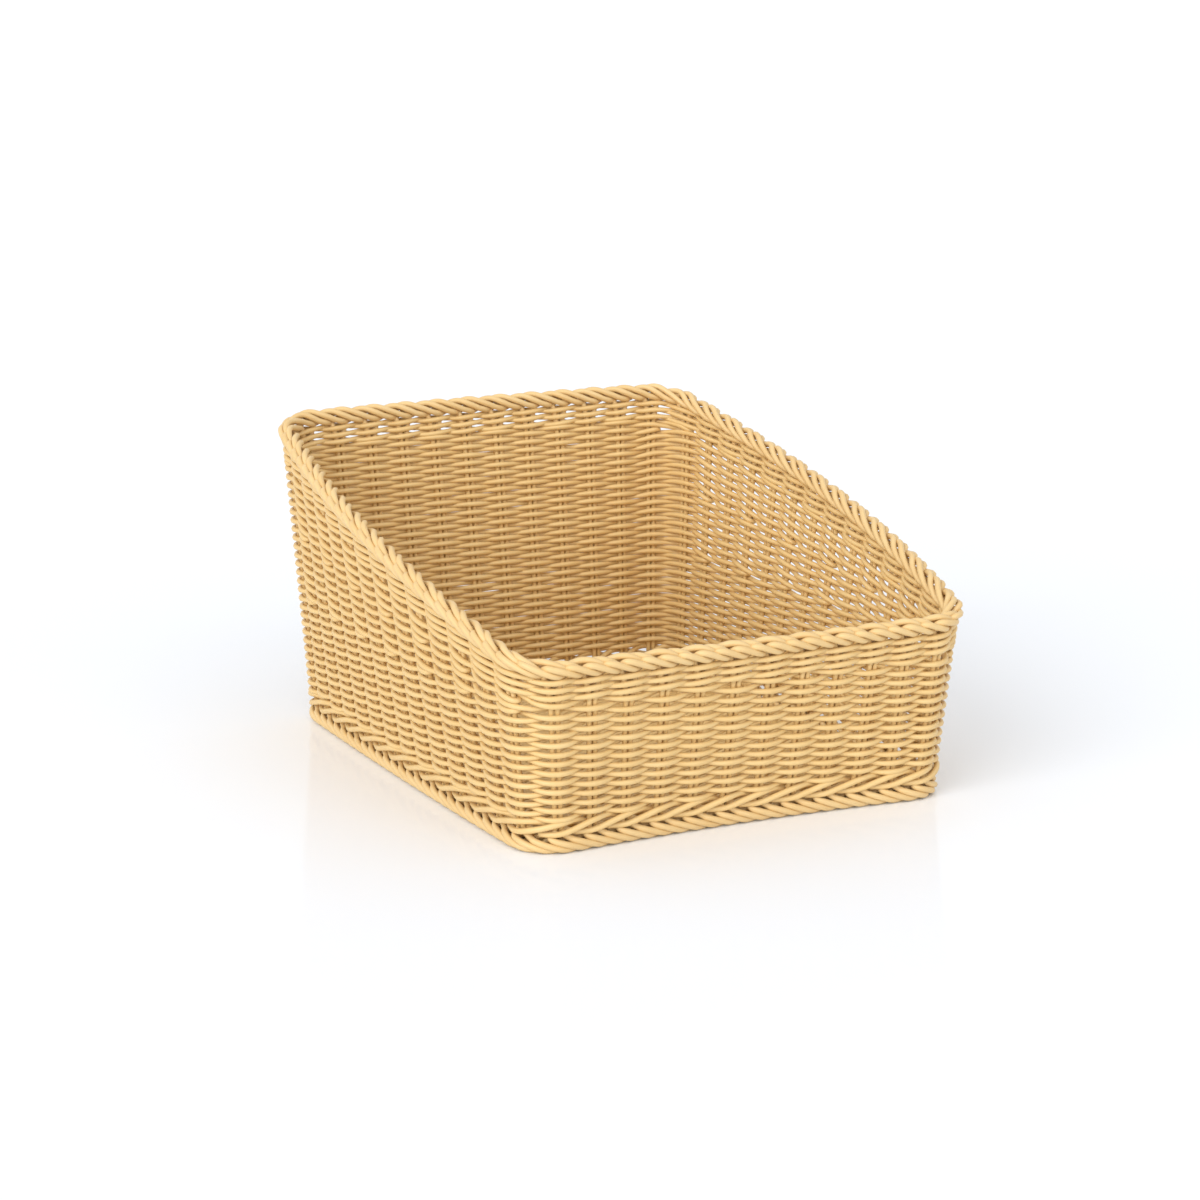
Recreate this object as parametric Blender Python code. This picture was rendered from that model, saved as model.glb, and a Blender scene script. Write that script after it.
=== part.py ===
"""Sloping storage basket woven from round plastic cane.

Pairs of upright canes, the stakes, stand around the basket. The weave is carried on them in bands:
a lower wale over the foot border, level rounds, packed rounds that climb towards the back, and an
upper wale under the rolled top border. Metres, +Z up, +Y towards the tall back. The origin is on the
floor, under the middle of the rim.
"""

import math

import bpy
import numpy as np

# Driving dimensions: the rim and the foot, outside
RIM_WIDTH = 0.310
RIM_DEPTH = 0.397
RIM_CORNER = 0.023
RIM_SIDE_BOW = 0.0175
RIM_END_BOW = 0.005
FOOT_WIDTH = 0.291
FOOT_DEPTH = 0.374
FOOT_CORNER = 0.025
FOOT_SIDE_BOW = 0.0025
FOOT_END_DIP = 0.009
FOOT_SETBACK = 0.004
FRONT_HEIGHT = 0.119
BACK_HEIGHT = 0.208
RIM_CROWN_SHARE = 0.10
RIM_SWEEP_SHARE = 0.11

# Canes and the bands that they make
STAKE_CANE = 0.003
WEAVER_CANE = 0.0035
ROW_PITCH = 0.0028
STAKE_CLEARANCE = 0.0003
BAND_GAP = 0.0003
EYE_WEB = 0.001
TOP_BORDER_WIDTH = 0.012
TOP_BORDER_HEIGHT = 0.011
FOOT_BORDER_WIDTH = 0.011
FOOT_BORDER_HEIGHT = 0.013
WALE_ROD_PITCH = 0.005
STUB_HEIGHT = 0.003
BASE_RISE = 0.0022

# Counts
WALL_STAKES = (12, 14, 12, 14)
WALE_ROUNDS = 3
FULL_ROUNDS = 2
PACKED_WEDGES = ((2, 4, 6, 8, 10, 12), (2, 4, 6, 8, 10, 12), (0, 1, 4, 10))

# A wall has a column at each stake and one on the corner that it starts from. Each stake stands in the
# middle of its share of the wall, so the end stakes are half a share from the corners
COLUMN_PLACES = [
    (wall, share)
    for wall, count in enumerate(WALL_STAKES)
    for share in (0, *((stake + 0.5) / count for stake in range(count)))
]
COLUMNS = len(COLUMN_PLACES)
BASE_STEPS = 4
BORDER_SIDES = 8
TOP_BORDER_STEPS = 2
TOP_BORDER_TURNS = 37
FOOT_BORDER_STEPS = 1
FOOT_BORDER_TURNS = 19

# The weave's thickness: a weaver outside the stake, the stake in its eye, a weaver inside
EYE_HALF = STAKE_CANE / 2 + STAKE_CLEARANCE
WEAVE_OUT = EYE_HALF + WEAVER_CANE
WEAVE_IN = EYE_HALF + EYE_WEB
WALL_HALF = (WEAVE_OUT + WEAVE_IN) / 2
SWAY = (WEAVE_OUT - WEAVE_IN) / 2
EYE_REACH = STAKE_CANE + STAKE_CLEARANCE
STAKE_PRESS_SHARE = 0.9
ROLL_DEPTH_SHARE = 0.1
CREASE_ANGLE = math.radians(55)

# Heights of the bands at the wall
WALE_HEIGHT = WALE_ROUNDS * WALE_ROD_PITCH
RIM_TO_WEAVE = TOP_BORDER_HEIGHT + STUB_HEIGHT + WALE_HEIGHT
LEVEL_BOTTOM = FOOT_BORDER_HEIGHT + WALE_HEIGHT
LEVEL_TOP = FRONT_HEIGHT - RIM_TO_WEAVE - FULL_ROUNDS * ROW_PITCH

CANE_COLOUR = (0.78, 0.54, 0.27, 1.0)
SHADED_CANE_COLOUR = (0.70, 0.46, 0.21, 1.0)
CANE_ROUGHNESS = 0.45


def clear_scene():
    for old in list(bpy.data.objects):
        bpy.data.objects.remove(old)


def cane_material(name, colour):
    material = bpy.data.materials.new(name)
    material.use_nodes = True
    shader = material.node_tree.nodes["Principled BSDF"]
    shader.inputs["Base Color"].default_value = colour
    shader.inputs["Roughness"].default_value = CANE_ROUGHNESS
    shader.inputs["Metallic"].default_value = 0.0
    return material


def plan_point(half_x, half_y, corner, side_bow, end_bow, wall, share):
    """A point on a rounded rectangle with bowed walls. Walls run front, right, back, left, and share
    goes from 0 to 1 along one, from the middle of a corner to the middle of the next."""
    half_run, half_across = (half_x, half_y) if wall % 2 == 0 else (half_y, half_x)
    straight = half_run - corner
    travel = (2 * share - 1) * (straight + corner * math.pi / 4)
    turn = max(abs(travel) - straight, 0) / corner
    along = math.copysign(min(abs(travel), straight) + corner * math.sin(turn), travel)
    across = half_across - corner * (1 - math.cos(turn))
    x, y = ((along, -across), (across, along), (-along, across), (-across, -along))[wall]
    x_share, y_share = x / half_x, y / half_y
    bowed_x = x + math.copysign(x_share**4, x) * side_bow * (1 - y_share**2)
    bowed_y = y + math.copysign(y_share**4, y) * end_bow * (1 - x_share**2)
    return bowed_x, bowed_y


def rim_height(y):
    """Height of the top border's crest at a depth y: it climbs from front to back with a soft crown."""
    half_depth = (RIM_DEPTH - TOP_BORDER_WIDTH) / 2
    share = min(max((y / half_depth + 1) / 2, 0), 1)
    swell = share * (1 - share)
    climb = share + RIM_CROWN_SHARE * swell + RIM_SWEEP_SHARE * swell * (1 - 2 * share)
    return FRONT_HEIGHT + (BACK_HEIGHT - FRONT_HEIGHT) * climb


def wall_lines(steps):
    """The wall's middle surface as straight lines from floor to rim, with this many to a column:
    foot points, rim points, and unit vectors along and out of the wall."""
    foot, rim = [], []
    for index in range(COLUMNS * steps):
        column, step = divmod(index, steps)
        wall, share = COLUMN_PLACES[column]
        next_wall, next_share = COLUMN_PLACES[(column + 1) % COLUMNS]
        share += ((next_share if next_wall == wall else 1) - share) * step / steps
        x, y = plan_point(
            (RIM_WIDTH - TOP_BORDER_WIDTH) / 2,
            (RIM_DEPTH - TOP_BORDER_WIDTH) / 2,
            RIM_CORNER,
            RIM_SIDE_BOW,
            RIM_END_BOW,
            wall,
            share,
        )
        rim.append((x, y, rim_height(y)))
        x, y = plan_point(
            (FOOT_WIDTH - FOOT_BORDER_WIDTH) / 2,
            (FOOT_DEPTH - FOOT_BORDER_WIDTH) / 2,
            FOOT_CORNER,
            FOOT_SIDE_BOW,
            -FOOT_END_DIP,
            wall,
            share,
        )
        foot.append((x, y - FOOT_SETBACK, 0))
    foot, rim = np.array(foot), np.array(rim)
    middle = (foot + rim) / 2
    along = np.roll(middle, -1, 0) - np.roll(middle, 1, 0)
    along[:, 2] = 0
    along /= np.linalg.norm(along, axis=1)[:, None]
    out = np.stack([along[:, 1], -along[:, 0], np.zeros(len(along))], 1)
    return foot, rim, along, out


FOOT, RIM, ALONG, OUT = wall_lines(1)
IS_STAKE = [share > 0 for _, share in COLUMN_PLACES]
STAKE_ORDER = np.cumsum(IS_STAKE) - 1


def on_wall(column, height, out=0.0, along=0.0, climb=0.0):
    """A point of the wall at a height in one column, moved out of the wall and along it."""
    foot, rim = FOOT[column], RIM[column]
    point = foot + (rim - foot) * (height / rim[2])
    return point + OUT[column] * out + ALONG[column] * along + np.array([0, 0, climb * along])


def climb_of(heights):
    """How fast a line of heights, one to a column, climbs along the wall in each column."""
    run = np.linalg.norm((np.roll(RIM, -1, 0) - np.roll(RIM, 1, 0))[:, :2], axis=1)
    return (np.roll(heights, -1) - np.roll(heights, 1)) / run


def stakes_from_back(column):
    """How many stakes of a side wall lie between this column and the back wall."""
    wall, share = COLUMN_PLACES[column]
    stake = share * WALL_STAKES[wall] - 0.5
    if wall == 1:
        return WALL_STAKES[1] - 1 - stake
    if wall == 3:
        return stake
    return WALL_STAKES[1] if wall == 0 else -1


class Skin:
    """Points and faces of one closed body."""

    def __init__(self):
        self.points = []
        self.faces = []

    def point(self, position):
        self.points.append(tuple(position))
        return len(self.points) - 1

    def face(self, *corners):
        """Adds a face, leaving out corners that repeat, and splits one of four in two."""
        kept = [c for i, c in enumerate(corners) if c != corners[i - 1]]
        for i in range(1, len(kept) - 1):
            if len({kept[0], kept[i], kept[i + 1]}) == 3:
                self.faces.append((kept[0], kept[i], kept[i + 1]))

    def build(self, name, material):
        mesh = bpy.data.meshes.new(name)
        mesh.from_pydata(self.points, [], self.faces)
        mesh.validate()
        mesh.materials.append(material)
        piece = bpy.data.objects.new(name, mesh)
        bpy.context.scene.collection.objects.link(piece)
        return piece


def band(name, heights, sways, material):
    """One woven band round the basket. heights holds the lines between its rounds, a row each with one
    height to a column, and sways how far out the weave lies there. The stakes' eyes run through it."""
    skin = Skin()
    faces_out, faces_in = [], []
    for level, (line, sway) in enumerate(zip(heights, sways)):
        row_out, row_in = [], []
        for column in range(COLUMNS):
            if level and line[column] == heights[level - 1][column]:
                row_out.append(faces_out[-1][column])
                row_in.append(faces_in[-1][column])
                continue
            row_out.append(skin.point(on_wall(column, line[column], sway[column] + WALL_HALF)))
            row_in.append(skin.point(on_wall(column, line[column], sway[column] - WALL_HALF)))
        faces_out.append(row_out)
        faces_in.append(row_in)
    for level in range(len(heights) - 1):
        for column in range(COLUMNS):
            after = (column + 1) % COLUMNS
            low, high = faces_out[level], faces_out[level + 1]
            skin.face(low[column], low[after], high[after], high[column])
            low, high = faces_in[level], faces_in[level + 1]
            skin.face(low[after], low[column], high[column], high[after])
    eyes = [eye_ring(skin, heights[level]) for level in (0, -1)]
    for column in filter(IS_STAKE.__getitem__, range(COLUMNS)):
        for corner in range(4):
            after = (corner + 1) % 4
            low, high = eyes[0][column], eyes[1][column]
            skin.face(low[corner], high[corner], high[after], low[after])
    edge(skin, faces_out[0], faces_in[0], eyes[0], False)
    edge(skin, faces_out[-1], faces_in[-1], eyes[1], True)
    return skin.build(name, material)


def eye_ring(skin, heights):
    """The corners of the stakes' eyes on one edge of a band, anticlockwise from above for each column."""
    climb = climb_of(heights)
    rings = []
    for column in range(COLUMNS):
        corners = ((-1, -1), (-1, 1), (1, 1), (1, -1)) if IS_STAKE[column] else ()
        rings.append([
            skin.point(on_wall(column, heights[column], out * EYE_HALF, along * EYE_REACH, climb[column]))
            for along, out in corners
        ])
    return rings


def edge(skin, outer, inner, eyes, is_top):
    """Closes a band along its top or bottom edge, round the eyes."""
    add = skin.face if is_top else lambda *corners: skin.face(*reversed(corners))
    for column in range(COLUMNS):
        after = (column + 1) % COLUMNS
        eye, next_eye = eyes[column], eyes[after]
        near_in, near_out = (eye[3], eye[2]) if eye else (inner[column], outer[column])
        far_in, far_out = (next_eye[0], next_eye[1]) if next_eye else (inner[after], outer[after])
        add(outer[column], outer[after], far_out, near_out)
        add(near_out, far_out, far_in, near_in)
        add(near_in, far_in, inner[after], inner[column])
        if eye:
            add(outer[column], eye[2], eye[1])
            add(inner[column], eye[0], eye[3])


def wale_sways(levels):
    """Three-rod wale: each rod passes outside two stakes and inside the next. The rod above starts one
    stake further on."""
    sways = np.zeros((levels, COLUMNS))
    for level in range(1, levels - 1):
        for column in filter(IS_STAKE.__getitem__, range(COLUMNS)):
            sways[level, column] = -SWAY if (STAKE_ORDER[column] + level) % 3 == 0 else SWAY
    return sways


def plain_sways(heights):
    """Plain weave: outside one stake and inside the next, and the other way on the round above. The upper
    wale's two-rod rounds, which twist between all stakes, have the same way in and out."""
    sways = np.zeros((len(heights), COLUMNS))
    for column in filter(IS_STAKE.__getitem__, range(COLUMNS)):
        rounds = STAKE_ORDER[column]
        for level in range(1, len(heights) - 1):
            rounds += heights[level][column] != heights[level - 1][column]
            sways[level, column] = SWAY if rounds % 2 else -SWAY
    return sways


def even_lines(bottom, top, rounds):
    """Lines of heights that divide the space between two lines into equal rounds."""
    return [bottom + (top - bottom) * (level / rounds) for level in range(rounds + 1)]


def packed_lines(bottom, top):
    """The lines between the packed rounds. A packed pair runs round the back and turns on a side wall,
    each nearer the front than the one below. A full round closes each of the first wedges."""
    shares = [np.zeros(COLUMNS)]
    for wedge, turns in enumerate(PACKED_WEDGES):
        for turn in turns:
            packed = [2 * (stakes_from_back(column) < turn) for column in range(COLUMNS)]
            shares.append(shares[-1] + np.array(packed))
        if wedge < FULL_ROUNDS:
            shares.append(shares[-1] + 1)
    return [bottom + (top - bottom) * share / shares[-1] for share in shares]


def weave():
    """The wales and the siding between them, from the foot border up."""
    pale = cane_material("cane", CANE_COLOUR)
    flat = np.ones(COLUMNS)
    half_gap = BAND_GAP / 2
    rim = RIM[:, 2]
    # A line runs through the middle of each wale rod, and one along each edge of the band
    wale_steps = WALE_ROUNDS + 1

    lines = even_lines(flat * (FOOT_BORDER_HEIGHT + BAND_GAP), flat * (LEVEL_BOTTOM - half_gap), wale_steps)
    band("lower_wale", lines, wale_sways(len(lines)), pale)

    rounds = max(round((LEVEL_TOP - LEVEL_BOTTOM) / (2 * ROW_PITCH)), 2)
    lines = even_lines(flat * (LEVEL_BOTTOM + half_gap), flat * (LEVEL_TOP - half_gap), rounds)
    band("level_weave", lines, plain_sways(lines), pale)

    lines = packed_lines(flat * (LEVEL_TOP + half_gap), rim - RIM_TO_WEAVE - half_gap)
    band("packed_weave", lines, plain_sways(lines), pale)

    wale_top = rim - TOP_BORDER_HEIGHT - STUB_HEIGHT
    lines = even_lines(rim - RIM_TO_WEAVE + half_gap, wale_top, wale_steps)
    band("upper_wale", lines, plain_sways(lines), pale)


def stake_outline():
    """Two canes side by side, as (along, out) points, clockwise from above. They press together a
    little, so that the pair is one body with a notch on each side."""
    radius = STAKE_CANE / 2
    centre = STAKE_PRESS_SHARE * radius
    notch = math.sqrt(radius**2 - centre**2)
    ahead = [(centre, -radius), (centre + radius, 0), (centre, radius)]
    behind = [(-along, -out) for along, out in ahead]
    return [*ahead, (0, notch), *behind, (0, -notch)]


def stakes():
    """One pair of upright canes to a column, from the foot border to the top border, cut to the slope.
    They are named anticlockwise from the front left corner, a quarter of them to a wall's name, so the
    last of the front and of the back stand just round the corner."""
    material = cane_material("stake_cane", SHADED_CANE_COLOUR)
    outline = stake_outline()
    bottom = np.full(COLUMNS, FOOT_BORDER_HEIGHT + BAND_GAP)
    top = RIM[:, 2] - TOP_BORDER_HEIGHT - BAND_GAP
    climb = climb_of(top)
    names = ("front", "right", "back", "left")
    quarter = sum(WALL_STAKES) // len(names)
    for column in filter(IS_STAKE.__getitem__, range(COLUMNS)):
        skin = Skin()
        low = [skin.point(on_wall(column, bottom[column], out, along)) for along, out in outline]
        high = [skin.point(on_wall(column, top[column], out, along, climb[column])) for along, out in outline]
        for i in range(len(outline)):
            after = (i + 1) % len(outline)
            skin.face(low[i], high[i], high[after], low[after])
        half = len(outline) // 2
        for lobe in (0, half):
            ends = [(lobe + i) % len(outline) for i in range(-1, half)]
            skin.face(*[low[i] for i in ends])
            skin.face(*[high[i] for i in reversed(ends)])
        name, number = divmod(STAKE_ORDER[column], quarter)
        piece = skin.build(f"stake_{names[name]}_{number + 1:02d}", material)
        piece.data.shade_smooth()
        piece.data.set_sharp_from_angle(angle=CREASE_ANGLE)


def rolled_border(name, size, line, columns, turns, rolls_top):
    """A rolled border along the wall: its canes lie in one turn after another over a flat seat. line
    gives the height of its middle, and columns the wall's lines, step by step."""
    width, height = size
    foot, rim, _, out = columns
    steps = len(line)
    flat = math.cos(math.pi / BORDER_SIDES)
    seats = [BORDER_SIDES * 3 // 4 - 1, BORDER_SIDES * 3 // 4]
    if not rolls_top:
        seats += [BORDER_SIDES // 4 - 1, BORDER_SIDES // 4]
    skin = Skin()
    rings = []
    for step in range(steps):
        middle = foot[step] + (rim[step] - foot[step]) * (line[step] / rim[step][2])
        ring = []
        for side in range(BORDER_SIDES):
            angle = 2 * math.pi * (side + 0.5) / BORDER_SIDES
            roll = 1 + ROLL_DEPTH_SHARE * (math.cos(2 * angle - 2 * math.pi * turns * step / steps) - 1)
            up = math.sin(angle) / flat * (1 if side in seats else roll) * height / 2
            away = math.cos(angle) / flat * roll * width / 2
            ring.append(skin.point(middle + out[step] * away + np.array([0, 0, up])))
        rings.append(ring)
    for step, ring in enumerate(rings):
        following = rings[(step + 1) % steps]
        for side in range(BORDER_SIDES):
            after = (side + 1) % BORDER_SIDES
            skin.face(ring[side], following[side], following[after], ring[after])
    piece = skin.build(name, cane_material(name + "_cane", CANE_COLOUR))
    piece.data.shade_smooth()
    piece.data.set_sharp_from_angle(angle=CREASE_ANGLE)
    return piece


def borders():
    """The rolled rim over the stakes' tips, and the rolled foot that the basket stands on."""
    columns = wall_lines(TOP_BORDER_STEPS)
    line = columns[1][:, 2] - TOP_BORDER_HEIGHT / 2
    size = (TOP_BORDER_WIDTH, TOP_BORDER_HEIGHT)
    rolled_border("top_border", size, line, columns, TOP_BORDER_TURNS, True)
    columns = wall_lines(FOOT_BORDER_STEPS)
    line = np.full(len(columns[1]), FOOT_BORDER_HEIGHT / 2)
    size = (FOOT_BORDER_WIDTH, FOOT_BORDER_HEIGHT)
    rolled_border("foot_border", size, line, columns, FOOT_BORDER_TURNS, False)


def base_edge(wall, height, inset):
    """Points along one edge of the base: its corners, one at each stake, and one halfway between two."""
    start = COLUMN_PLACES.index((wall, 0))
    columns = [(start + slot) % COLUMNS for slot in range(WALL_STAKES[wall] + 2)]
    corner, *at_stakes, next_corner = [on_wall(column, height, -inset) for column in columns]
    points = [corner, at_stakes[0]]
    for before, after in zip(at_stakes, at_stakes[1:]):
        points += [(before + after) / 2, after]
    return [*points, next_corner]


def base():
    """The woven base, inside the foot: cross canes lie over and under pairs of sticks that run from front
    to back, in line with the stakes. So it is ribbed: thick at the sticks and one cane thin between."""
    rib_half = STAKE_CANE / 2 + WEAVER_CANE
    valley_half = WEAVER_CANE / 2
    middle = BASE_RISE + rib_half
    inset = FOOT_BORDER_WIDTH / 2 + BAND_GAP
    front, right = base_edge(0, middle, inset), base_edge(1, middle, inset)
    back, left = base_edge(2, middle, inset)[::-1], base_edge(3, middle, inset)[::-1]
    last, deep_last = len(front) - 1, len(left) - 1
    rows = [round(deep_last * step / BASE_STEPS) for step in range(BASE_STEPS + 1)]
    skin = Skin()
    sheets = {}
    for side in (1, -1):
        for i in range(last + 1):
            for j, row in enumerate(rows):
                across, deep = i / last, row / deep_last
                lengthwise = front[i] + (back[i] - front[i]) * deep
                crosswise = left[row] + (right[row] - left[row]) * across
                near = front[0] + (front[-1] - front[0]) * across
                far = back[0] + (back[-1] - back[0]) * across
                crossing = lengthwise + crosswise - near - (far - near) * deep
                half = rib_half if i % 2 else valley_half
                sheets[side, i, j] = skin.point(crossing + np.array([0, 0, side * half]))
    for i in range(last):
        for j in range(BASE_STEPS):
            square = ((i, j), (i + 1, j), (i + 1, j + 1), (i, j + 1))
            skin.face(*(sheets[1, a, b] for a, b in square))
            skin.face(*(sheets[-1, a, b] for a, b in reversed(square)))
    ends = [(k, 0) for k in range(last)] + [(last, k) for k in range(BASE_STEPS)]
    ends += [(last - a, BASE_STEPS - b) for a, b in ends]
    for k, (a, b) in enumerate(ends):
        c, d = ends[(k + 1) % len(ends)]
        skin.face(sheets[-1, a, b], sheets[-1, c, d], sheets[1, c, d], sheets[1, a, b])
    skin.build("base_weave", cane_material("base_cane", SHADED_CANE_COLOUR))


clear_scene()
borders()
weave()
stakes()
base()
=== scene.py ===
import math

import bpy
import numpy as np
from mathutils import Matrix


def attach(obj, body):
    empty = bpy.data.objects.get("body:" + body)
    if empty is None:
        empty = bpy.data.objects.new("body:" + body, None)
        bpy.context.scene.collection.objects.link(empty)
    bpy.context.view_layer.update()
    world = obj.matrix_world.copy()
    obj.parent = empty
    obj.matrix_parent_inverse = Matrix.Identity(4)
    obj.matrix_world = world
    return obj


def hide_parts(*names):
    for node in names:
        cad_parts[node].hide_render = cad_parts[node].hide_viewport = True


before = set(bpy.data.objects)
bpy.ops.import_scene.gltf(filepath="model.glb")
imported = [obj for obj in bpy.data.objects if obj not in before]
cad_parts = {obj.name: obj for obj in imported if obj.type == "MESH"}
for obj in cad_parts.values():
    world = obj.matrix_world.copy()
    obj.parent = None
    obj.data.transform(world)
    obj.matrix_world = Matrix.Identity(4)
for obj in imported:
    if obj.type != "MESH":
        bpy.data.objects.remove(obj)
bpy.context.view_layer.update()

MM = 0.001


# The view: the basket stands free on a white studio table. The camera looks down on its low front from
# the left, at the photograph's angle, with a long lens and no blur.
CAMERA_PLACE = (-0.8550, -1.6960, 0.5339)
CAMERA_AIM = (-0.0059, -0.0017, 0.1027)
CAMERA_LENS_MM = 90.2


def aimed(thing, place, aim):
    """Stands a camera or a lamp at a place and turns it to look at its aim."""
    away = np.subtract(aim, place)
    flat = math.hypot(away[0], away[1])
    thing.location = place
    thing.rotation_euler = (math.pi / 2 + math.atan2(away[2], flat), 0, math.atan2(-away[0], away[1]))
    bpy.context.scene.collection.objects.link(thing)


camera = bpy.data.objects.new("camera", bpy.data.cameras.new("camera"))
camera.data.lens = CAMERA_LENS_MM
aimed(camera, CAMERA_PLACE, CAMERA_AIM)
bpy.context.scene.camera = camera
bpy.context.scene.view_settings.view_transform = "Standard"


# The table and the studio: a smooth white table that carries on into a white background, under broad soft
# light from all round, strongest from the front left. The table keeps the basket's shadow and a faint,
# blurred reflection of it.
TABLE_SIZE = 120.0
TABLE_WHITE = (0.92, 0.95, 0.998, 1.0)
TABLE_ROUGHNESS = 0.1
TABLE_SHINE = 0.06
STUDIO_GLOW = 0.80
SOFT_LAMPS = (
    # where from, angle it fills in degrees, strength
    ((-1.5, -0.75, 0.8), 45, 1.70),
    ((0.1, -1.6, 0.7), 50, 0.65),
)

world = bpy.data.worlds.new("studio")
world.use_nodes = True
bpy.context.scene.world = world
nodes, links = world.node_tree.nodes, world.node_tree.links
rays = nodes.new("ShaderNodeLightPath")
seen = nodes.new("ShaderNodeMath")
seen.operation = "MAXIMUM"
links.new(rays.outputs["Is Camera Ray"], seen.inputs[0])
links.new(rays.outputs["Is Glossy Ray"], seen.inputs[1])
strength = nodes.new("ShaderNodeMapRange")
strength.inputs["To Min"].default_value = STUDIO_GLOW
strength.inputs["To Max"].default_value = 1.0
links.new(seen.outputs["Value"], strength.inputs["Value"])
background = nodes["Background"]
background.inputs["Color"].default_value = (1.0, 1.0, 1.0, 1.0)
links.new(strength.outputs["Result"], background.inputs["Strength"])

for number, (place, fill, power) in enumerate(SOFT_LAMPS):
    light = bpy.data.lights.new(f"soft_lamp_{number}", "SUN")
    light.angle = math.radians(fill)
    light.energy = power
    aimed(bpy.data.objects.new(light.name, light), place, (0, 0, 0))

table_mesh = bpy.data.meshes.new("table")
reach = TABLE_SIZE / 2
corners = [(-reach, -reach, 0), (reach, -reach, 0), (reach, reach, 0), (-reach, reach, 0)]
table_mesh.from_pydata(corners, [], [(0, 1, 2, 3)])
table = bpy.data.objects.new("table", table_mesh)
bpy.context.scene.collection.objects.link(table)

paint = bpy.data.materials.new("table_white")
paint.use_nodes = True
shader = paint.node_tree.nodes["Principled BSDF"]
shader.inputs["Base Color"].default_value = TABLE_WHITE
shader.inputs["Roughness"].default_value = TABLE_ROUGHNESS
shader.inputs["Specular IOR Level"].default_value = TABLE_SHINE
table_mesh.materials.append(paint)


# The upright canes: 52 pairs of round plastic canes that stand around the basket, 12 in front and behind
# and 14 on each side, splayed outwards from the foot to the rim. The weave holds each pair together.
WALL_STAKES = (12, 14, 12, 14)
CORNERS = (0, *np.cumsum(WALL_STAKES).tolist())
STAKES = CORNERS[-1]
WALL_NAMES = ("front", "right", "back", "left")
# The frame names as many pairs after one wall as after another
NAMED_PER_WALL = STAKES // len(WALL_NAMES)
RIM_HALF_WIDTH = 0.149
RIM_HALF_DEPTH = 0.1925
RIM_CORNER = 0.023
RIM_SIDE_BOW = 0.0175
RIM_END_BOW = 0.005
FOOT_HALF_WIDTH = 0.140
FOOT_HALF_DEPTH = 0.1815
FOOT_CORNER = 0.025
FOOT_SIDE_BOW = 0.0025
FOOT_END_DIP = 0.009
FOOT_SETBACK = 0.004
FRONT_HEIGHT = 0.119
BACK_HEIGHT = 0.208
RIM_CROWN_SHARE = 0.10
RIM_SWEEP_SHARE = 0.11
# How fast a wall's bow fades towards the middle of the basket, as a power
BOW_FADE = 4
STEPS_PER_STAKE = 32

STAKE_RADIUS = 1.6 * MM
PAIR_HALF = 1.8 * MM
STAKE_BOTTOM = 14 * MM
STAKE_TOP_DROP = 26 * MM
CANE_SIDES = 8
# How far a cut end bulges, as a share of the radius
END_BULGE = 0.3
# A way that no cane starts in, from which its first side is found
NO_CANES_WAY = (0.31, 0.87, 0.13)
STAKE_RINGS = 24

HANDWORK_SEED = 20
chance = np.random.default_rng(HANDWORK_SEED)


def plan_line(half_x, half_y, corner, side_bow, end_bow, places):
    """Points of a rounded rectangle with bowed walls, seen from above. Places count stakes from the front
    left corner, anticlockwise."""
    turned = places % STAKES
    wall = np.searchsorted(CORNERS[1:-1], turned, side="right")
    share = (turned - np.take(CORNERS, wall)) / np.take(WALL_STAKES, wall)
    is_end_wall = wall % 2 == 0
    half_run = np.where(is_end_wall, half_x, half_y)
    half_across = np.where(is_end_wall, half_y, half_x)
    straight = half_run - corner
    travel = (2 * share - 1) * (straight + corner * math.pi / 4)
    turn = np.maximum(np.abs(travel) - straight, 0) / corner
    along = np.sign(travel) * (np.minimum(np.abs(travel), straight) + corner * np.sin(turn))
    across = half_across - corner * (1 - np.cos(turn))
    x = np.choose(wall, (along, across, -along, -across))
    y = np.choose(wall, (-across, along, across, -along))
    x_share, y_share = x / half_x, y / half_y
    bowed_x = x + np.sign(x) * x_share**BOW_FADE * side_bow * (1 - y_share**2)
    bowed_y = y + np.sign(y) * y_share**BOW_FADE * end_bow * (1 - x_share**2)
    return bowed_x, bowed_y


def rim_height(y):
    """Height of the rim's crest at a depth y."""
    share = np.clip((y / RIM_HALF_DEPTH + 1) / 2, 0, 1)
    swell = share * (1 - share)
    climb = share + RIM_CROWN_SHARE * swell + RIM_SWEEP_SHARE * swell * (1 - 2 * share)
    return FRONT_HEIGHT + (BACK_HEIGHT - FRONT_HEIGHT) * climb


PLACES = np.arange(STAKES * STEPS_PER_STAKE + 1) / STEPS_PER_STAKE
rim_plan = (RIM_HALF_WIDTH, RIM_HALF_DEPTH, RIM_CORNER, RIM_SIDE_BOW, RIM_END_BOW)
foot_plan = (FOOT_HALF_WIDTH, FOOT_HALF_DEPTH, FOOT_CORNER, FOOT_SIDE_BOW, -FOOT_END_DIP)
rim_x, rim_y = plan_line(*rim_plan, PLACES)
foot_x, foot_y = plan_line(*foot_plan, PLACES)
RIM_LINE = np.stack([rim_x, rim_y, rim_height(rim_y)], 1)
FOOT_LINE = np.stack([foot_x, foot_y - FOOT_SETBACK, np.zeros(len(PLACES))], 1)
middle = (RIM_LINE + FOOT_LINE) / 2
middle[:, 2] = 0
ahead = np.roll(middle[:-1], -1, 0) - np.roll(middle[:-1], 1, 0)
ahead = np.append(ahead, ahead[:1], 0)
stride = np.linalg.norm(ahead, axis=1)
OUT_LINE = np.stack([ahead[:, 1], -ahead[:, 0], ahead[:, 2]], 1) / stride[:, None]
STRIDE_LINE = stride * STEPS_PER_STAKE / 2


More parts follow.
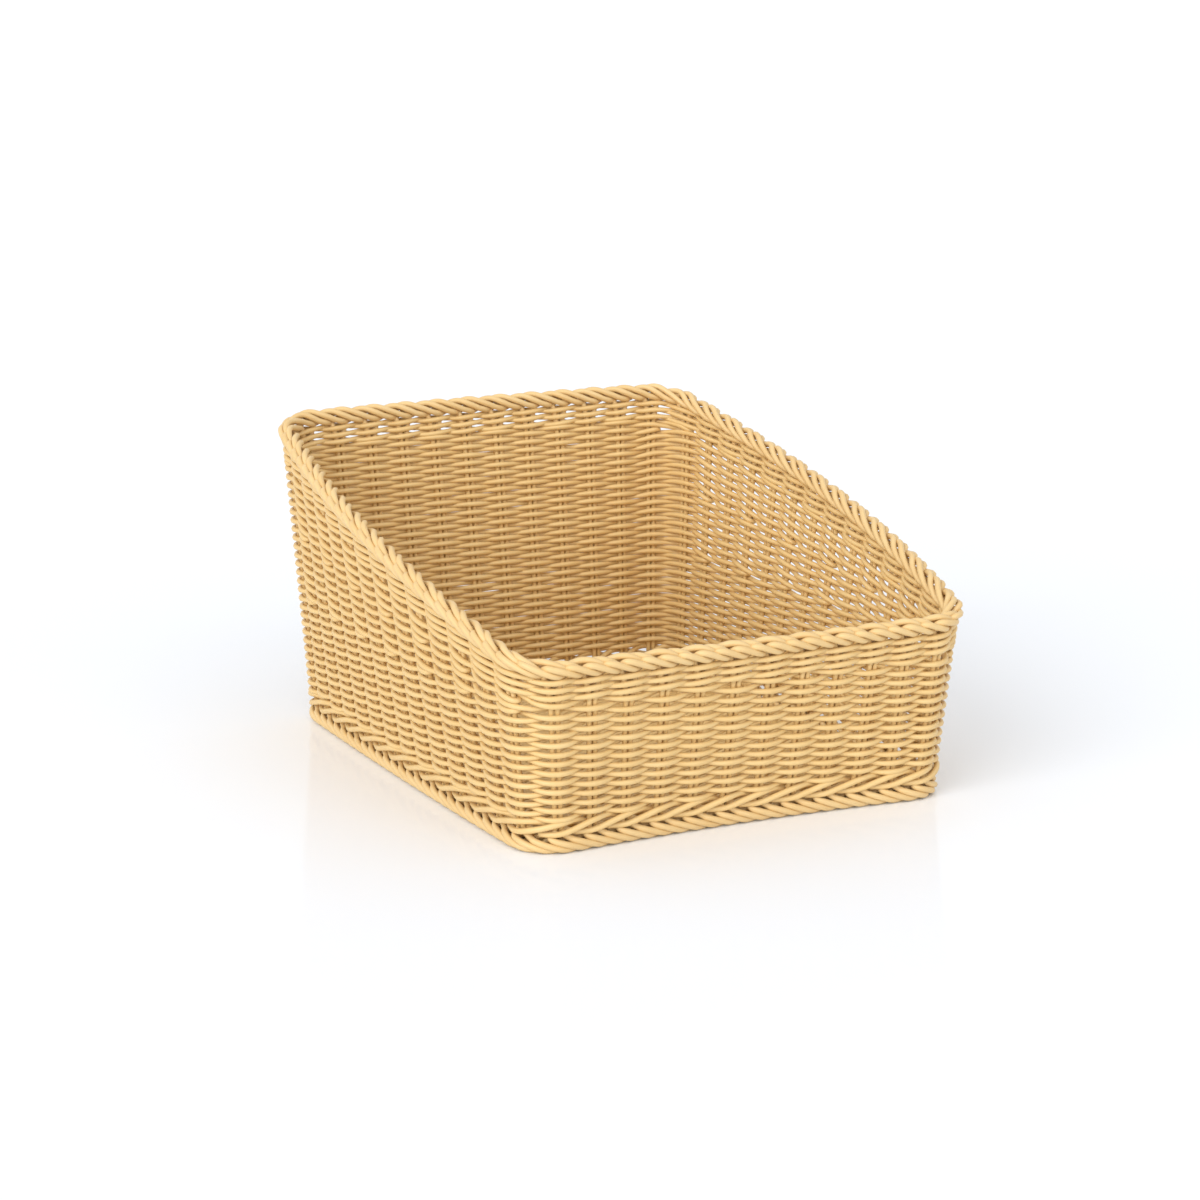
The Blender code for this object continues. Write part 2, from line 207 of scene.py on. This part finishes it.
def along_line(line, places):
    """Values of a line round the basket at places counted in stakes."""
    turned = np.asarray(places, float) % STAKES
    if line.ndim == 1:
        return np.interp(turned, PLACES, line)
    return np.stack([np.interp(turned, PLACES, line[:, axis]) for axis in range(line.shape[1])], 1)


def on_wall(places, heights, outs):
    """Points of the wall: places counted in stakes, heights above the floor, and ways out of the wall."""
    foot, rim = along_line(FOOT_LINE, places), along_line(RIM_LINE, places)
    share = np.asarray(heights) / rim[:, 2]
    return foot + (rim - foot) * share[:, None] + along_line(OUT_LINE, places) * np.asarray(outs)[:, None]


def crest(places):
    """Height of the rim's crest at places counted in stakes."""
    return along_line(RIM_LINE[:, 2], places)


def smooth(knots, steps):
    """A soft curve through knots, with this many steps between two of them."""
    knots = np.asarray(knots, float)
    padded = np.concatenate([2 * knots[:1] - knots[1:2], knots, 2 * knots[-1:] - knots[-2:-1]])
    share = np.arange(steps) / steps
    rows = []
    for index in range(1, len(knots)):
        before, start, end, after = padded[index - 1 : index + 3]
        slope_in, slope_out = (end - before) / 2, (after - start) / 2
        t = share[:, None]
        rows.append(
            start * (2 * t**3 - 3 * t**2 + 1)
            + slope_in * (t**3 - 2 * t**2 + t)
            + end * (3 * t**2 - 2 * t**3)
            + slope_out * (t**3 - t**2)
        )
    rows.append(knots[-1:])
    return np.concatenate(rows)


class Bundle:
    """The round canes of one piece. Each point also keeps its place on the cane laid out straight, for the
    grain, and a tint of its own cane."""

    def __init__(self):
        self.points, self.faces, self.laid, self.tints = [], [], [], []
        self.count = 0

    def cane(self, path, radius, sides=CANE_SIDES, closed=False, heights=None):
        """A cane along a path. heights press its round section from above, for canes that lie level."""
        path = np.asarray(path, float)
        total = len(path)
        if closed:
            tangent = np.roll(path, -1, 0) - np.roll(path, 1, 0)
        else:
            tangent = np.gradient(path, axis=0)
        tangent /= np.linalg.norm(tangent, axis=1)[:, None]
        if heights is None:
            side = self.carried(tangent)
            heights = np.ones(total)
        else:
            side = np.cross(tangent, (0, 0, 1))
            side /= np.linalg.norm(side, axis=1)[:, None]
        up = np.cross(side, tangent)
        angle = 2 * math.pi * np.arange(sides) / sides
        cos, sin = np.cos(angle), np.sin(angle)
        ring = side[:, None] * cos[:, None] + up[:, None] * (sin * heights[:, None])[..., None]
        points = path[:, None] + ring * radius
        step = np.linalg.norm(np.diff(path, axis=0, append=path[:1]), axis=1)
        run = np.concatenate([[0], np.cumsum(step[:-1])]) + chance.uniform(0, 1)
        laid = np.empty((total, sides, 3))
        laid[..., 0], laid[..., 1], laid[..., 2] = cos * radius, sin * radius, run[:, None]
        tint = chance.uniform(-1, 1)
        first = self.count
        self.points.append(points.reshape(-1, 3))
        self.laid.append(laid.reshape(-1, 3))
        index = first + np.arange(total * sides).reshape(total, sides)
        following = np.roll(index, -1, 0) if closed else index[1:]
        current = index if closed else index[:-1]
        quads = np.stack([current, np.roll(current, -1, 1), np.roll(following, -1, 1), following], -1)
        self.faces.append(quads.reshape(-1, 4))
        self.count += total * sides
        if not closed:
            self.count += 2
            start_tip = path[0] - tangent[0] * radius * END_BULGE
            end_tip = path[-1] + tangent[-1] * radius * END_BULGE
            self.points.append(np.stack([start_tip, end_tip]))
            self.laid.append(np.stack([(0, 0, run[0]), (0, 0, run[-1])]))
            start, end = self.count - 2, self.count - 1
            for a, b in zip(index[0], np.roll(index[0], -1)):
                self.faces.append(np.array([[b, a, start, start]]))
            for a, b in zip(index[-1], np.roll(index[-1], -1)):
                self.faces.append(np.array([[a, b, end, end]]))
        self.tints.append(np.full(self.count - first, tint))

    @staticmethod
    def carried(tangent):
        """Side directions that turn with the cane and don't twist around it."""
        start = np.cross(tangent[0], NO_CANES_WAY)
        sides = [start / np.linalg.norm(start)]
        for direction in tangent[1:]:
            side = sides[-1] - direction * (sides[-1] @ direction)
            sides.append(side / np.linalg.norm(side))
        return np.array(sides)

    def build(self, name, slot, material, *stands_for):
        """Makes the piece, and hides the solids of the frame that it stands for."""
        faces = np.concatenate(self.faces)
        is_tip = faces[:, 2] == faces[:, 3]
        corners = [tuple(face[:3]) if tip else tuple(face) for face, tip in zip(faces.tolist(), is_tip)]
        mesh = bpy.data.meshes.new(name)
        mesh.from_pydata(np.concatenate(self.points).tolist(), [], corners)
        mesh.shade_smooth()
        laid = mesh.attributes.new("laid_straight", "FLOAT_VECTOR", "POINT")
        laid.data.foreach_set("vector", np.concatenate(self.laid).ravel().astype(np.float32))
        tint = mesh.attributes.new("cane_tint", "FLOAT", "POINT")
        tint.data.foreach_set("value", np.concatenate(self.tints).astype(np.float32))
        mesh.materials.append(material)
        piece = bpy.data.objects.new(name, mesh)
        bpy.context.scene.collection.objects.link(piece)
        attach(piece, "root")
        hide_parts(*stands_for)


SKIN_SOCKETS = (
    ("INPUT", "Pale", "Color"),
    ("INPUT", "Warm", "Color"),
    ("INPUT", "Spread", "Float"),
    ("OUTPUT", "Colour", "Color"),
    ("OUTPUT", "Roughness", "Float"),
    ("OUTPUT", "Relief", "Float"),
)
# Across the cane both ways, then along it
LINES_PER_METRE = (1400.0, 1400.0, 60.0)
PATCHES_PER_METRE = 70.0
LINES_SHARE = 0.35
ALL_PALE_BELOW = 0.25
ALL_WARM_ABOVE = 1.1
SMOOTHEST = 0.38
ROUGHEST = 0.52
CANE_SHINE = 0.5
LINES_STRENGTH = 0.15
LINES_DEPTH = 0.2 * MM


def cane_skin_group():
    """The skin of extruded plastic cane: a tint for each cane, soft patches, and fine lines along it."""
    group = bpy.data.node_groups.new("cane_skin", "ShaderNodeTree")
    for way, name, kind in SKIN_SOCKETS:
        group.interface.new_socket(name, in_out=way, socket_type=f"NodeSocket{kind}")
    nodes, links = group.nodes, group.links
    given, result = nodes.new("NodeGroupInput"), nodes.new("NodeGroupOutput")
    laid = nodes.new("ShaderNodeAttribute")
    laid.attribute_name = "laid_straight"
    tint = nodes.new("ShaderNodeAttribute")
    tint.attribute_name = "cane_tint"
    stretch = nodes.new("ShaderNodeVectorMath")
    stretch.operation = "MULTIPLY"
    stretch.inputs[1].default_value = LINES_PER_METRE
    links.new(laid.outputs["Vector"], stretch.inputs[0])
    lines = nodes.new("ShaderNodeTexNoise")
    lines.inputs["Scale"].default_value = 1.0
    lines.inputs["Detail"].default_value = 2.0
    links.new(stretch.outputs["Vector"], lines.inputs["Vector"])
    patches = nodes.new("ShaderNodeTexNoise")
    patches.inputs["Scale"].default_value = PATCHES_PER_METRE
    patches.inputs["Detail"].default_value = 3.0
    links.new(laid.outputs["Vector"], patches.inputs["Vector"])
    mixed = nodes.new("ShaderNodeMath")
    mixed.operation = "MULTIPLY_ADD"
    links.new(tint.outputs["Fac"], mixed.inputs[0])
    links.new(given.outputs["Spread"], mixed.inputs[1])
    links.new(patches.outputs["Fac"], mixed.inputs[2])
    lined = nodes.new("ShaderNodeMath")
    lined.operation = "MULTIPLY_ADD"
    lined.inputs[1].default_value = LINES_SHARE
    links.new(lines.outputs["Fac"], lined.inputs[0])
    links.new(mixed.outputs["Value"], lined.inputs[2])
    share = nodes.new("ShaderNodeMapRange")
    share.inputs["From Min"].default_value = ALL_PALE_BELOW
    share.inputs["From Max"].default_value = ALL_WARM_ABOVE
    links.new(lined.outputs["Value"], share.inputs["Value"])
    colour = nodes.new("ShaderNodeMix")
    colour.data_type = "RGBA"
    links.new(share.outputs["Result"], colour.inputs["Factor"])
    links.new(given.outputs["Pale"], colour.inputs["A"])
    links.new(given.outputs["Warm"], colour.inputs["B"])
    rough = nodes.new("ShaderNodeMapRange")
    rough.inputs["To Min"].default_value = SMOOTHEST
    rough.inputs["To Max"].default_value = ROUGHEST
    links.new(lines.outputs["Fac"], rough.inputs["Value"])
    links.new(colour.outputs["Result"], result.inputs["Colour"])
    links.new(rough.outputs["Result"], result.inputs["Roughness"])
    links.new(lines.outputs["Fac"], result.inputs["Relief"])
    return group


CANE_SKIN = cane_skin_group()


def cane_plastic(name, pale, warm, spread):
    """Satin plastic cane between two colours, with the skin's fine lines."""
    material = bpy.data.materials.new(name)
    material.use_nodes = True
    nodes, links = material.node_tree.nodes, material.node_tree.links
    shader = nodes["Principled BSDF"]
    shader.inputs["Specular IOR Level"].default_value = CANE_SHINE
    skin = nodes.new("ShaderNodeGroup")
    skin.node_tree = CANE_SKIN
    skin.inputs["Pale"].default_value = (*pale, 1.0)
    skin.inputs["Warm"].default_value = (*warm, 1.0)
    skin.inputs["Spread"].default_value = spread
    bump = nodes.new("ShaderNodeBump")
    bump.inputs["Strength"].default_value = LINES_STRENGTH
    bump.inputs["Distance"].default_value = LINES_DEPTH
    links.new(skin.outputs["Relief"], bump.inputs["Height"])
    links.new(skin.outputs["Colour"], shader.inputs["Base Color"])
    links.new(skin.outputs["Roughness"], shader.inputs["Roughness"])
    links.new(bump.outputs["Normal"], shader.inputs["Normal"])
    return material


STAKE_PLASTIC = cane_plastic("upright_cane", (0.77, 0.545, 0.24), (0.70, 0.455, 0.17), 0.12)


def pair_places(stake, side):
    """Where one cane of a pair stands, counted in stakes: side is -1 or 1."""
    middle_place = stake + 0.5
    return middle_place + side * PAIR_HALF / float(along_line(STRIDE_LINE, [middle_place])[0])


for stake in range(STAKES):
    pair = Bundle()
    for side in (-1, 1):
        place = pair_places(stake, side)
        top = float(crest([place])[0]) - STAKE_TOP_DROP
        heights = np.linspace(STAKE_BOTTOM, top, STAKE_RINGS)
        pair.cane(on_wall(np.full(STAKE_RINGS, place), heights, np.zeros(STAKE_RINGS)), STAKE_RADIUS)
    wall, number = divmod(stake, NAMED_PER_WALL)
    name = f"{WALL_NAMES[wall]}_{number + 1:02d}"
    pair.build(f"upright_canes_{name}", "stake_cane", STAKE_PLASTIC, f"stake_{name}")


# The foot border: the lower ends of the upright canes come out under the lower wale, lean to the right down
# the outside, turn under and are tucked up on the inside. Nothing but the plait holds them.
BORDER_RADIUS = 2.0 * MM
BORDER_STEPS = 4
# Half the way between a pair's canes once they have spread, in stakes
EVEN_HALF = 0.25
# How far each cane of a pair moves on its own way, in stakes along and upwards
OWN_ALONG = 0.065
OWN_UP = 0.35 * MM
# Share of the spread between the pair's canes, stakes along, share of the two canes' own ways,
# millimetres out and millimetres up
FOOT_LAY = (
    (0.0, 0.0, 0.0, 0.0, 14.0),
    (0.2, 0.0, 0.0, 0.2, 12.3),
    (0.7, 0.0, 0.0, 0.5, 10.4),
    (1.0, 0.05, 0.0, 1.4, 8.9),
    (1.0, 0.14, 0.0, 2.9, 7.9),
    (1.0, 0.3, 0.0, 3.8, 6.7),
    (1.0, 0.5, 0.0, 4.1, 5.1),
    (1.0, 0.7, 0.0, 3.9, 3.6),
    (1.0, 0.88, 0.0, 3.0, 2.5),
    (1.0, 1.05, 0.0, 1.7, 2.15),
    (1.0, 1.25, 0.0, 0.0, 2.15),
    (1.0, 1.45, 0.0, -1.7, 2.5),
    (1.0, 1.7, 0.0, -3.2, 4.0),
    (1.0, 1.9, 0.0, -3.8, 6.2),
    (1.0, 2.1, 0.0, -3.7, 8.6),
    (1.0, 2.3, 0.0, -3.5, 10.8),
    (1.0, 2.45, 0.0, -3.1, 12.8),
)
BORDER_PLASTIC = cane_plastic("border_cane", (0.78, 0.568, 0.278), (0.725, 0.483, 0.20), 0.15)


def border_path(lay, stake, side, base_height):
    """The path of one cane of a pair through a border. The canes spread to half a stake apart."""
    knots = smooth(lay, BORDER_STEPS)
    upright = pair_places(stake, side)
    even = stake + 0.5 + side * EVEN_HALF
    places = upright + (even - upright) * knots[:, 0] + knots[:, 1] - side * OWN_ALONG * knots[:, 2]
    heights = base_height(places) + knots[:, 4] * MM - side * OWN_UP * knots[:, 2]
    return on_wall(places, heights, knots[:, 3] * MM)


for wall, wall_name in enumerate(WALL_NAMES):
    foot = Bundle()
    for stake in range(CORNERS[wall], CORNERS[wall + 1]):
        for side in (-1, 1):
            foot.cane(border_path(FOOT_LAY, stake, side, np.zeros_like), BORDER_RADIUS)
    foot.build(f"foot_border_canes_{wall_name}", "border_cane", BORDER_PLASTIC, "foot_border")


# The lower wale: three weavers that twist together around the stakes, right above the foot. Each passes
# outside two pairs, climbing from the low place to the high one, and inside the third. 52 is one more than
# a multiple of three, so the end of each meets the start of the next, and they are made as one long cane.
WEAVER_RADIUS = 1.86 * MM
SWAY = 3.1 * MM
RINGS_PER_STAKE = 10
# The most that a weaver's section is pressed flat
PRESSED_MOST = 0.17
WANDER_STEPS = 4
LOWER_WALE_RODS = 3
LOWER_WALE_HEIGHT = 15.5 * MM
# Millimetres out and millimetres up, one half stake after another, over three stakes
LOWER_WALE_LAY = ((0.0, -3.9), (3.4, -3.1), (3.8, 0.0), (3.4, 3.1), (0.0, 3.8), (-3.3, 0.0), (0.0, -3.9))
WEAVER_PLASTIC = cane_plastic("weaver_cane", (0.78, 0.565, 0.262), (0.72, 0.475, 0.184), 0.15)


def wander(amount):
    """A small unevenness of handwork round the basket, as a smooth function of the place."""
    offsets = chance.normal(0, amount, STAKES)
    offsets = np.append(offsets, offsets[:1])
    marks = np.linspace(0, STAKES, STAKES + 1)
    fine = np.linspace(0, STAKES, STAKES * WANDER_STEPS + 1)
    soft = np.interp(fine, marks, offsets)
    soft[:-1] = (np.roll(soft[:-1], 1) + soft[:-1] + np.roll(soft[:-1], -1)) / 3
    soft[-1] = soft[0]
    return lambda places: np.interp(np.asarray(places) % STAKES, fine, soft)


def pressed(places):
    """How far a weaver's section is pressed flat: not at the stakes, most halfway between them."""
    return 1 - PRESSED_MOST * np.sin(math.pi * (places - 0.5)) ** 2


lay = smooth(LOWER_WALE_LAY, RINGS_PER_STAKE // 2)[:-1] * MM
turns = np.arange(LOWER_WALE_RODS * STAKES * RINGS_PER_STAKE) / RINGS_PER_STAKE
lay = np.resize(lay, (len(turns), 2))
wale = Bundle()
wale.cane(on_wall(turns, LOWER_WALE_HEIGHT + lay[:, 1], lay[:, 0]), WEAVER_RADIUS, closed=True)
wale.build("lower_wale_canes", "weaver_cane", WEAVER_PLASTIC, "lower_wale")


# The level rows: single weavers in plain weave, outside one pair of stakes and inside the next. Each row
# goes the other way round the stakes than the row below it.
LEVEL_BOTTOM = 20.3 * MM
LEVEL_TOP = 86.7 * MM
LEVEL_ROWS = 23
ROW_PITCH = (LEVEL_TOP - LEVEL_BOTTOM) / LEVEL_ROWS
UNEVEN = 0.15 * MM
# How much lower a row lies outside a pair of stakes, and higher inside, as a share of its way out or in
ROW_DIP_SHARE = 0.22
# How bluntly a weaver turns between its ways out and in
BLUNTNESS = 0.7


def held(swing):
    """How far out a weaver lies: it runs straight over a pair of stakes, and crosses between two pairs."""
    return SWAY * np.tanh(BLUNTNESS * swing) / math.tanh(BLUNTNESS)


def plain_row(places, row):
    """How far out a plain woven row lies: it sways out at one stake and in at the next."""
    return held(np.cos(math.pi * (places - 0.5 - row)))


ROUND = np.arange(STAKES * RINGS_PER_STAKE) / RINGS_PER_STAKE


def full_row(name, row, heights, stands_for):
    """One weaver all round the basket."""
    weaver = Bundle()
    heights = heights + wander(UNEVEN)(ROUND)
    outs = plain_row(ROUND, row)
    path = on_wall(ROUND, heights - ROW_DIP_SHARE * outs, outs)
    weaver.cane(path, WEAVER_RADIUS, heights=pressed(ROUND), closed=True)
    weaver.build(name, "weaver_cane", WEAVER_PLASTIC, stands_for)


for row in range(LEVEL_ROWS):
    height = LEVEL_BOTTOM + (row + 0.5) * ROW_PITCH
    full_row(f"level_weaver_{row + 1:02d}", row, np.full(len(ROUND), height), "level_weave")


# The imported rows: short weavers that run round the back and turn back on a stake of each side wall. They
# lie in three wedges, with a full row over each of the first two, and make the back taller than the front.
RIM_TO_WEAVE = 25.0 * MM
# Where the weavers of each wedge turn, in stakes from the back corners
WEDGES = ((2, 4, 6, 8, 10, 12, 14), (2, 4, 6, 8, 10, 12, 14), (0, 1))
# How far a turn reaches past the middle of its stake
TURN_HALF = 5.2 * MM
RIGHT_BACK_PLACE = CORNERS[2] + 0.5
LEFT_BACK_PLACE = CORNERS[3] - 0.5
TURN_RINGS = 8
# How far past its turns a weaver takes its full height, and where it takes none, in stakes
PRESENT_REACH = -0.7
ABSENT_REACH = 0.85


def turning_places(turn):
    """The two stakes that a packed weaver turns back on, counted round the basket."""
    return RIGHT_BACK_PLACE - turn, LEFT_BACK_PLACE + turn


def presence(places, turn):
    """1 where a packed weaver lies, 0 in front of its turns, and between them in a soft step."""
    right, left = turning_places(turn)
    places = np.asarray(places) % STAKES
    inside = np.minimum(places - right, left - places)
    share = np.clip((inside + ABSENT_REACH) / (ABSENT_REACH - PRESENT_REACH), 0, 1)
    return share * share * (3 - 2 * share)


def rows_at(places, wedges_below, turns_below, extra):
    """How many rows lie below a line, at each place: the wedges below with a full row over each, the
    weavers below in the line's own wedge, and extra rows."""
    total = np.full(np.shape(places), float(wedges_below) + extra)
    for wedge, turns in enumerate(WEDGES):
        for order, turn in enumerate(turns):
            if wedge < wedges_below or (wedge == wedges_below and order < turns_below):
                total = total + 2 * presence(places, turn)
    return total


def packed_height(places, rows):
    """The height of a line over that many packed rows, stretched to end below the upper wale."""
    # No full row lies over the last wedge
    every = rows_at(places, len(WEDGES), 0, -1.0)
    top = crest(places) - RIM_TO_WEAVE
    return LEVEL_TOP + (top - LEVEL_TOP) * rows / every


row = LEVEL_ROWS
for wedge, turns in enumerate(WEDGES):
    for order, turn in enumerate(turns):
        right, left = turning_places(turn)
        count = int(round((left - right) * RINGS_PER_STAKE))
        there = np.linspace(right, left, count + 1)
        swing = math.pi * (np.arange(TURN_RINGS - 1) + 1) / TURN_RINGS
        near = 1 - np.arange(1, TURN_RINGS) / TURN_RINGS
        places, outs, shares = [there], [plain_row(there, row)], [np.zeros(len(there))]
        for edge, sign, climb in ((left, 1, 1), (right, -1, -1)):
            half_turn = TURN_HALF / float(along_line(STRIDE_LINE, [edge])[0])
            places.append(edge + sign * half_turn * np.sin(swing))
            outs.append(plain_row(np.array([edge]), row + (climb < 0))[0] * np.cos(swing))
            shares.append(np.arange(1, TURN_RINGS) / TURN_RINGS if climb > 0 else near)
            if climb > 0:
                places.append(there[::-1])
                outs.append(plain_row(there[::-1], row + 1))
                shares.append(np.ones(len(there)))
        places, outs, shares = np.concatenate(places), np.concatenate(outs), np.concatenate(shares)
        below = rows_at(places, wedge, order, 0.0)
        own = presence(places, turn)
        heights = packed_height(places, below + own * (0.5 + shares)) + wander(UNEVEN)(places)
        heights = heights - ROW_DIP_SHARE * outs
        weaver = Bundle()
        weaver.cane(on_wall(places, heights, outs), WEAVER_RADIUS, heights=pressed(places), closed=True)
        name = f"packed_weaver_{wedge + 1}_{order + 1}"
        weaver.build(name, "weaver_cane", WEAVER_PLASTIC, "packed_weave")
    if wedge < len(WEDGES) - 1:
        below = rows_at(ROUND, wedge, len(turns), 0.5)
        full_row(f"full_weaver_{wedge + 1}", row, packed_height(ROUND, below), "packed_weave")
        row += 1


# The upper wale: three rounds of two weavers that twist around each other between the stakes, parallel to
# the sloping rim. They lock the weave before the border is plaited.
UPPER_ROUNDS = 3
UPPER_FIRST_DROP = 13.5 * MM
UPPER_PITCH = 4.8 * MM
# How far a rod climbs outside a pair and sinks inside, to either side of its middle height
UPPER_LIFT = 0.65 * MM
# How much higher a rod lies outside a pair, and lower inside, as a share of its way out or in
UPPER_RISE_SHARE = 0.06
for order in range(UPPER_ROUNDS):
    for rod in (0, 1):
        turned = math.pi * (ROUND - 0.5 - rod)
        heights = crest(ROUND) - UPPER_FIRST_DROP - order * UPPER_PITCH + UPPER_LIFT * np.sin(turned)
        heights = heights + wander(UNEVEN)(ROUND)
        weaver = Bundle()
        outs = held(np.cos(turned))
        path = on_wall(ROUND, heights + UPPER_RISE_SHARE * outs, outs)
        weaver.cane(path, WEAVER_RADIUS, heights=pressed(ROUND), closed=True)
        weaver.build(f"upper_wale_cane_{order + 1}_{rod + 1}", "weaver_cane", WEAVER_PLASTIC, "upper_wale")


# The top border: the upper ends of the upright canes bend out over the wale, lean down to the right on the
# outside, go through to the inside, climb there, roll over the crest and are tucked in behind.
TOP_LAY = (
    (0.0, 0.0, 0.0, 0.0, -26.0),
    (0.1, 0.0, 0.0, 0.0, -22.0),
    (0.28, 0.0, 0.0, 0.0, -18.3),
    (0.42, 0.0, 0.0, -0.2, -15.5),
    (0.62, 0.0, 0.0, -0.6, -12.8),
    (0.86, 0.0, 0.0, -0.5, -9.6),
    (1.0, 0.02, 0.0, 0.4, -7.2),
    (1.0, 0.07, 0.0, 2.2, -5.2),
    (1.0, 0.15, 0.0, 4.0, -4.5),
    (1.0, 0.28, 0.0, 4.8, -5.1),
    (1.0, 0.46, 0.0, 4.8, -6.6),
    (1.0, 0.64, 0.0, 4.4, -8.1),
    (1.0, 0.8, 0.0, 3.1, -9.3),
    (1.0, 0.93, 0.0, 0.8, -9.8),
    (1.0, 1.05, 0.0, -1.6, -9.8),
    (1.0, 1.18, 0.0, -3.4, -9.3),
    (1.0, 1.36, 0.0, -4.3, -8.0),
    (1.0, 1.54, 0.15, -4.4, -6.1),
    (1.0, 1.7, 0.4, -3.9, -4.5),
    (1.0, 1.84, 0.7, -2.8, -3.1),
    (1.0, 1.97, 0.9, -1.3, -2.2),
    (1.0, 2.1, 1.0, 0.2, -2.2),
    (1.0, 2.23, 1.0, 1.2, -3.0),
    (1.0, 2.35, 1.0, 1.6, -4.3),
    (1.0, 2.45, 1.0, 1.4, -5.8),
    (1.0, 2.52, 1.0, 0.9, -7.4),
)
for wall, wall_name in enumerate(WALL_NAMES):
    rim = Bundle()
    for stake in range(CORNERS[wall], CORNERS[wall + 1]):
        for side in (-1, 1):
            rim.cane(border_path(TOP_LAY, stake, side, crest), BORDER_RADIUS)
    rim.build(f"top_border_canes_{wall_name}", "border_cane", BORDER_PLASTIC, "top_border")


# The base: a flat panel in the same plain weave. Pairs of canes run from front to back, in line with the
# stakes, and single canes go over one pair and under the next from side to side.
BASE_HEIGHT = 7.2 * MM
BASE_INSET = 5.8 * MM
BASE_SIDE_INSET = 5.0 * MM
# Where a base weaver ends, in stakes from the corner
BASE_END = 0.06
BASE_SIDE_POINTS = 60
BASE_CANE_SIDES = 6
BASE_ROW_PITCH = 3.0 * MM
BASE_RINGS = 6
BASE_STICK_RADIUS = 1.5 * MM
BASE_WEAVER_RADIUS = 1.75 * MM
BASE_STICKS = WALL_STAKES[0]
BASE_PLASTIC = cane_plastic("base_cane", (0.77, 0.545, 0.24), (0.70, 0.455, 0.17), 0.15)


def base_point(across, deep, height):
    """A point of the base: shares of the way from the left to the right and from the front to the back. It
    widens with the side walls, so that the weavers' ends meet them."""
    inset = np.full(len(across), -BASE_INSET)
    front = on_wall(BASE_STICKS * across, height, inset)
    back = on_wall(CORNERS[3] - BASE_STICKS * across, height, inset)
    point = front + (back - front) * deep[:, None]
    side = np.linspace(CORNERS[1], CORNERS[2], BASE_SIDE_POINTS)
    level = np.full(BASE_SIDE_POINTS, BASE_HEIGHT)
    wall = on_wall(side, level, np.full(BASE_SIDE_POINTS, -BASE_SIDE_INSET))
    end = np.abs(on_wall([BASE_END], [BASE_HEIGHT], [-BASE_INSET])[0, 0])
    point[:, 0] *= np.interp(point[:, 1], wall[:, 1], wall[:, 0]) / end
    return point


sticks = Bundle()
for stake in range(BASE_STICKS):
    for side in (-1, 1):
        across = np.full(STAKE_RINGS, pair_places(stake, side) / BASE_STICKS)
        deep = np.linspace(0, 1, STAKE_RINGS)
        sticks.cane(base_point(across, deep, np.full(STAKE_RINGS, BASE_HEIGHT)), BASE_STICK_RADIUS)
sticks.build("base_sticks", "base_cane", BASE_PLASTIC, "base_weave")

base_rows = int(2 * (FOOT_HALF_DEPTH - BASE_INSET) / BASE_ROW_PITCH)
steps = BASE_STICKS * BASE_RINGS
weavers = Bundle()
for row in range(base_rows):
    places = BASE_END + (BASE_STICKS - 2 * BASE_END) * np.arange(steps + 1) / steps
    deep = np.full(len(places), (row + 0.5) / base_rows)
    sway = (BASE_STICK_RADIUS + BASE_WEAVER_RADIUS) * np.cos(math.pi * (places - 0.5 - row))
    path = base_point(places / BASE_STICKS, deep, BASE_HEIGHT + sway)
    weavers.cane(path, BASE_WEAVER_RADIUS, sides=BASE_CANE_SIDES)
weavers.build("base_weavers", "base_cane", BASE_PLASTIC, "base_weave")
